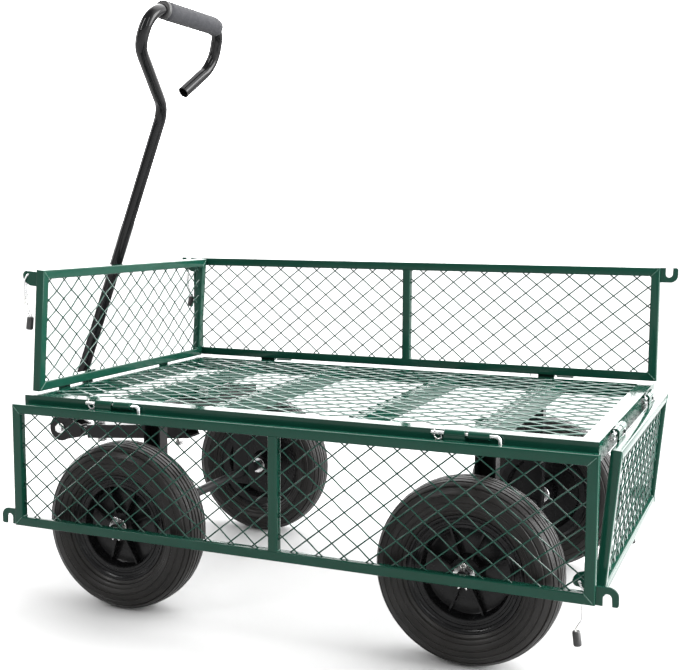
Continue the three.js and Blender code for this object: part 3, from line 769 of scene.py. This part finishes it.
RIB_FOOT = 3.2
RIB_RISE = 16
TYRE_STEPS = 160
RIM_STEPS = 96
WASHER_STEPS = 48


def rim_solid(c, s):
    """Turned rim with radial ribs that thin toward the outside."""
    out = Pieces()
    out.add(*lathe([(r * MM, y * MM) for r, y in RIM_PROFILE], RIM_STEPS, c, s))
    for k in range(RIB_COUNT):
        a = 2 * math.pi * k / RIB_COUNT + math.pi / RIB_COUNT
        rib = [(r, y, RIB_HALF - RIB_TAPER * (y - RIB_FOOT) / RIB_RISE) for r, y in RIB_PROFILE]
        verts = [(r * MM, s * y * MM, w * MM) for r, y, w in rib]
        verts += [(r * MM, s * y * MM, -w * MM) for r, y, w in rib]
        n = len(rib)
        faces = [tuple(range(n)), tuple(range(2 * n - 1, n - 1, -1))]
        faces += [(i, (i + 1) % n, (i + 1) % n + n, i + n) for i in range(n)]
        turn = Matrix.Rotation(-a, 4, "Y")
        out.add([turn @ Vector(v) + c for v in verts], faces)
    return out


COTTER_R = 1.15 * MM
COTTER_OUT = 31 * MM


def split_cotter(c, s, name, body):
    """Split pin through the axle end: a ring head on top and two spread legs."""
    y = c.y + s * COTTER_OUT
    out = Pieces()
    for side in (-1, 1):
        off = side * 0.75 * MM
        pts = [
            (c.x + off, y, c.z + 11.5 * MM), (c.x + off, y, c.z - 10 * MM),
            (c.x + off + side * 5 * MM, y, c.z - 17 * MM),
        ]
        out.add(*sweep(rounded(pts, [3 * MM], 5), COTTER_R, 10))
    ring = [
        Vector((c.x + math.cos(a) * 3.4 * MM, y, c.z + 14.2 * MM + math.sin(a) * 3.4 * MM))
        for a in np.linspace(-math.pi / 2 + 0.3, 1.5 * math.pi - 0.3, 20)
    ]
    out.add(*sweep(ring, COTTER_R, 10))
    return add_mesh(name, out.verts, out.faces, ZINC, body, 60)


WASHER_BORE = 8.4
WASHER_THICK = 2.0
WASHER_EDGE = 0.4


def washer(c, s, offset, name, body, outer):
    face, rim = offset + WASHER_THICK, outer - WASHER_EDGE
    profile = [
        (WASHER_BORE, offset), (WASHER_BORE, face), (rim, face), (outer, face - WASHER_EDGE),
        (outer, offset + WASHER_EDGE), (rim, offset),
    ]
    solid = lathe([(r * MM, y * MM) for r, y in profile], WASHER_STEPS, c, s)
    return add_mesh(name, *solid, ZINC, body, 35)


for corner in ("front_left", "front_right", "rear_left", "rear_right"):
    c = centre(f"tyre_{corner}")
    s = -1 if corner.endswith("left") else 1
    wheel = f"wheel_{corner}"
    carrier = "steering" if corner.startswith("front") else "chassis"
    tyre = add_mesh(f"tyre_{corner}_rubber", *lathe(tyre_profile(), TYRE_STEPS, c, s), TYRE, wheel, 28)
    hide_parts(f"tyre_{corner}")
    solid = rim_solid(c, s)
    rim = add_mesh(f"rim_{corner}_moulding", solid.verts, solid.faces, RIM, wheel, 32)
    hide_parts(f"rim_{corner}")
    w = washer(c, s, 24.4, f"washer_{corner}_plated", carrier, 15.0)
    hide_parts(f"washer_{corner}")
    inner = washer(c, s, -26.8, f"washer_inner_{corner}", carrier, 14.0)
    pin = split_cotter(c, s, f"cotter_{corner}_split", carrier)
    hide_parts(f"cotter_{corner}")


# ------------------------------------------------------------------ handle and grip
TILT = math.radians(20.9)
FOOT = pivot("handle_tilt")
SHAFT = Vector((math.sin(TILT), 0, math.cos(TILT)))


def on_shaft(y, s):
    return FOOT + SHAFT * (s * MM) + Vector((0, y * MM, 0))


CROSS_PART = 748
HANDLE = [
    (0, -15), (0, 594), (-118, 685), (-118, CROSS_PART), (94, CROSS_PART), (112, 684), (45.5, 628),
]
BENDS = [48, 40, 36, 34, 46]
HANDLE_R = 10 * MM
HANDLE_BORE_R = 8.2 * MM
HANDLE_SIDES = 32
TIGHT_CURVE = 26.0


def bent_tube():
    """Hollow bent tube, slightly flattened where it bends."""
    pts = rounded([on_shaft(*p) for p in HANDLE], [b * MM for b in BENDS], 16)
    pts = refined(pts, 9 * MM)
    frames = path_frames(pts)
    outer, inner = [], []
    sides = HANDLE_SIDES
    wide = Vector((math.cos(TILT), 0, -math.sin(TILT)))
    for i, (p, side, up) in enumerate(frames):
        a = (pts[i] - pts[max(i - 1, 0)])
        b = (pts[min(i + 1, len(pts) - 1)] - pts[i])
        curve = a.angle(b) / max(b.length, 1e-6) if a.length > 1e-9 and b.length > 1e-9 else 0.0
        flat = min(curve / TIGHT_CURVE, 1.0)
        thin = side.cross(up).cross(wide).normalized()
        ring = []
        for k in range(sides):
            ang = 2 * math.pi * k / sides
            ca, sa = math.cos(ang), math.sin(ang)
            ring.append((wide * ca * (1 + 0.035 * flat) + thin * sa * (1 - 0.08 * flat)))
        outer.append([p + v * HANDLE_R for v in ring])
        inner.append([p + v * HANDLE_BORE_R for v in ring])
    n = len(pts)
    verts = [v for r in outer for v in r] + [v for r in inner for v in r]
    base = n * sides
    faces = []
    for i in range(n - 1):
        for k in range(sides):
            a, b = i * sides + k, i * sides + (k + 1) % sides
            faces.append((a, b, b + sides, a + sides))
            faces.append((base + b, base + a, base + a + sides, base + b + sides))
    for i in (0, n - 1):
        for k in range(sides):
            a, b = i * sides + k, i * sides + (k + 1) % sides
            faces.append((a, b, base + b, base + a))
    return verts, faces


tube = add_mesh("handle_tube_bent", *bent_tube(), BLACK, "handle", 40)
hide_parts("handle_tube")


FOAM_R = 15 * MM
FOAM_EDGE = 4 * MM
FOAM_TUCK = 2.2 * MM


def foam_grip():
    """Foam sleeve over the cross part and into its bend, drawn in a little at both ends."""
    corners = [on_shaft(-80, CROSS_PART), on_shaft(94, CROSS_PART), on_shaft(112, 684)]
    pts = rounded(corners, [34 * MM], 10)
    pts = refined(pts[:6], 5 * MM)
    run = [0.0]
    for a, b in zip(pts, pts[1:]):
        run.append(run[-1] + (b - a).length)
    radii = []
    for d in run:
        edge = min(d, run[-1] - d)
        radii.append(FOAM_R - FOAM_TUCK * max(0.0, 1 - edge / FOAM_EDGE) ** 2)
    return sweep(pts, radii, 40)


foam = add_mesh("grip_foam", *foam_grip(), FOAM, "handle", 50)
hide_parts("handle_grip")


def grip_end():
    """Black rubber ring that closes the foam at its open end."""
    stations = [(-88.0, 10.8), (-87.4, 13.4), (-86.0, 14.6), (-82.0, 14.9), (-80.8, 14.5), (-80.2, 12.4)]
    return sweep([on_shaft(y, CROSS_PART) for y, _ in stations], [r * MM for _, r in stations], 40)


ring = add_mesh("grip_end_ring", *grip_end(), SLEEVE, "handle", 50)


# ------------------------------------------------------------------ hinge pins with spring clips
PIN_R = 2.5 * MM
CLIP_R = 1.0 * MM


def hinge_pin(name, at, heading):
    place = Matrix.Translation(at) @ Matrix.Rotation(math.radians(heading), 4, "Z")
    out = Pieces()
    pts = [(-0.048, 0, 0), (0.043, 0, 0), (0.043, 0, -0.013)]
    out.add(*sweep(rounded(pts, [0.005], 8), PIN_R, 20))
    clip = [
        (-0.044, 0, 0.006), (-0.044, 0, -0.005), (-0.040, 0, -0.0085),
        (-0.0335, 0, -0.0065), (-0.035, 0, -0.003),
    ]
    out.add(*sweep(rounded(clip, [0.003, 0.003, 0.0012], 6), CLIP_R, 10))
    out.moved(place)
    obj = add_mesh(f"{name}_plated", out.verts, out.faces, ZINC, "chassis", 50)
    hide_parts(name)


for u, end in ((-1, "front"), (1, "rear")):
    for joint, side in (("fold_left_side", "left"), ("fold_right_side", "right")):
        p = pivot(joint)
        hinge_pin(f"hinge_pin_{side}_{end}", Vector((MID.x + u * SIDE_HINGE, p.y, p.z)), 0)
for v, side in ((-1, "left"), (1, "right")):
    for joint, end in (("fold_front_end", "front"), ("fold_rear_end", "rear")):
        p = pivot(joint)
        hinge_pin(f"hinge_pin_{end}_{side}", Vector((p.x, MID.y + v * END_HINGE, p.z)), 90)


# ------------------------------------------------------------------ latch bails
BAIL_R = 1.25 * MM
SLEEVE_STATIONS = [0.0, 0.03, 0.10, 0.5, 0.9, 0.97, 1.0]
SLEEVE_RADII = [4.2 * MM, 5.0 * MM, 5.4 * MM, 5.3 * MM, 5.2 * MM, 4.8 * MM, 4.2 * MM]


def bail(name, body):
    joint = "swing_" + body
    o = pivot(joint)
    out_x = -1 if "front" in name else 1

    def at(u, y, w):
        return o + Vector((out_x * u, y, w)) * MM

    leg = 2.75
    path = [
        at(-0.5, leg, -80), at(-3, leg, -62), at(5, leg, -48), at(5, leg, -9), at(0, leg, 0),
        at(0, -leg, 0), at(5, -leg, -9), at(5, -leg, -48), at(-3, -leg, -62), at(-0.5, -leg, -80),
    ]
    pts = rounded(path, [v * MM for v in (3, 8, 3, 1.4, 1.4, 3, 8, 3)], 7)
    wire = add_mesh(f"{name}_wire", *sweep(pts, BAIL_R, 12), ZINC, body, 60)
    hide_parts(name)
    sleeve_name = name.replace("bail_", "bail_sleeve_")
    a, b = at(0.05, 0, -84), at(-2.6, 0, -64.5)
    along = [a + (b - a) * t for t in SLEEVE_STATIONS]
    sleeve = add_mesh(f"{sleeve_name}_moulded", *sweep(along, SLEEVE_RADII, 28), SLEEVE, body, 40)
    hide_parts(sleeve_name)


for end in ("front", "rear"):
    for side in ("left", "right"):
        bail(f"bail_{end}_{side}", f"latch_{end}_{side}")


# ------------------------------------------------------------------ floor, light and camera
FLOOR_TONE = 0.45
FLOOR_HALF = 60.0


def floor():
    h = FLOOR_HALF
    mesh = bpy.data.meshes.new("floor")
    mesh.from_pydata([(-h, -h, 0), (h, -h, 0), (h, h, 0), (-h, h, 0)], [], [(0, 1, 2, 3)])
    m, _, bsdf, _ = new_material("floor_pale")
    bsdf.inputs["Base Color"].default_value = (FLOOR_TONE, FLOOR_TONE, FLOOR_TONE, 1)
    bsdf.inputs["Roughness"].default_value = 0.85
    bsdf.inputs["Specular IOR Level"].default_value = 0.2
    mesh.materials.append(m)
    obj = bpy.data.objects.new("floor", mesh)
    bpy.context.scene.collection.objects.link(obj)


floor()


def area_light(name, at, look, size, power):
    data = bpy.data.lights.new(name, "AREA")
    data.shape = "RECTANGLE"
    data.size, data.size_y = size
    data.energy = power
    obj = bpy.data.objects.new(name, data)
    obj.location = at
    obj.rotation_euler = (Vector(look) - Vector(at)).to_track_quat("-Z", "Y").to_euler()
    bpy.context.scene.collection.objects.link(obj)


area_light("left_box", (-2.6, -0.6, 1.5), (0, 0, 0.35), (0.7, 1.8), 22)
area_light("right_box", (2.4, 0.2, 1.1), (0.2, 0, 0.3), (1.5, 2.2), 150)
area_light("strip_left", (-1.3, -2.2, 2.0), (0, 0, 0.3), (0.2, 1.8), 34)
area_light("strip_right", (1.5, -2.3, 1.7), (0.1, 0, 0.3), (0.2, 1.8), 20)


def sun(name, heading, height, strength, spread):
    data = bpy.data.lights.new(name, "SUN")
    data.energy = strength
    data.angle = math.radians(spread)
    obj = bpy.data.objects.new(name, data)
    a, b = math.radians(heading), math.radians(height)
    toward = Vector((math.cos(b) * math.cos(a), math.cos(b) * math.sin(a), math.sin(b)))
    obj.rotation_euler = toward.to_track_quat("Z", "Y").to_euler()
    bpy.context.scene.collection.objects.link(obj)


sun("overhead", 60, 68, 1.0, 50)


BACKDROP = Vector((0.42, 0.9, 0.0)).normalized()
WORLD_DIM = 0.4
WORLD_BRIGHT = 5.0
WORLD_FADE = (-0.25, 0.4)


def studio_world():
    """A bright backdrop behind the cart that falls off to a dimmer viewing side."""
    world = bpy.data.worlds.new("studio")
    bpy.context.scene.world = world
    world.use_nodes = True
    nt = world.node_tree
    background = nt.nodes["Background"]
    coords = nt.nodes.new("ShaderNodeTexCoord")
    facing = nt.nodes.new("ShaderNodeVectorMath")
    facing.operation = "DOT_PRODUCT"
    facing.inputs[1].default_value = (BACKDROP.x, BACKDROP.y, 0)
    nt.links.new(coords.outputs["Generated"], facing.inputs[0])
    background.inputs["Color"].default_value = (1, 1, 1, 1)
    level = span(nt, facing.outputs["Value"], WORLD_DIM, WORLD_BRIGHT, *WORLD_FADE)
    nt.links.new(level, background.inputs["Strength"])


studio_world()

bpy.context.scene.view_settings.view_transform = "Standard"
bpy.context.scene.view_settings.look = "None"

YAW, PITCH, ROLL = (math.radians(v) for v in (22.957, -6.255, 0.24))
SENSOR = 36
LENS = 58.01
STAND = Vector((0.65255, -1.59557, 0.5943))
fwd = Vector((-math.sin(YAW) * math.cos(PITCH), math.cos(YAW) * math.cos(PITCH), math.sin(PITCH)))
right = Vector((math.cos(YAW), math.sin(YAW), 0))
up = right.cross(fwd)
r2 = right * math.cos(ROLL) + up * math.sin(ROLL)
u2 = up * math.cos(ROLL) - right * math.sin(ROLL)
cam_data = bpy.data.cameras.new("camera")
cam_data.sensor_width = SENSOR
cam_data.lens = LENS
cam_data.clip_end = 200
cam = bpy.data.objects.new("camera", cam_data)
cam.matrix_world = Matrix.Translation(MID + STAND) @ Matrix((
    (r2.x, u2.x, -fwd.x, 0), (r2.y, u2.y, -fwd.y, 0), (r2.z, u2.z, -fwd.z, 0), (0, 0, 0, 1)))
bpy.context.scene.collection.objects.link(cam)
bpy.context.scene.camera = cam
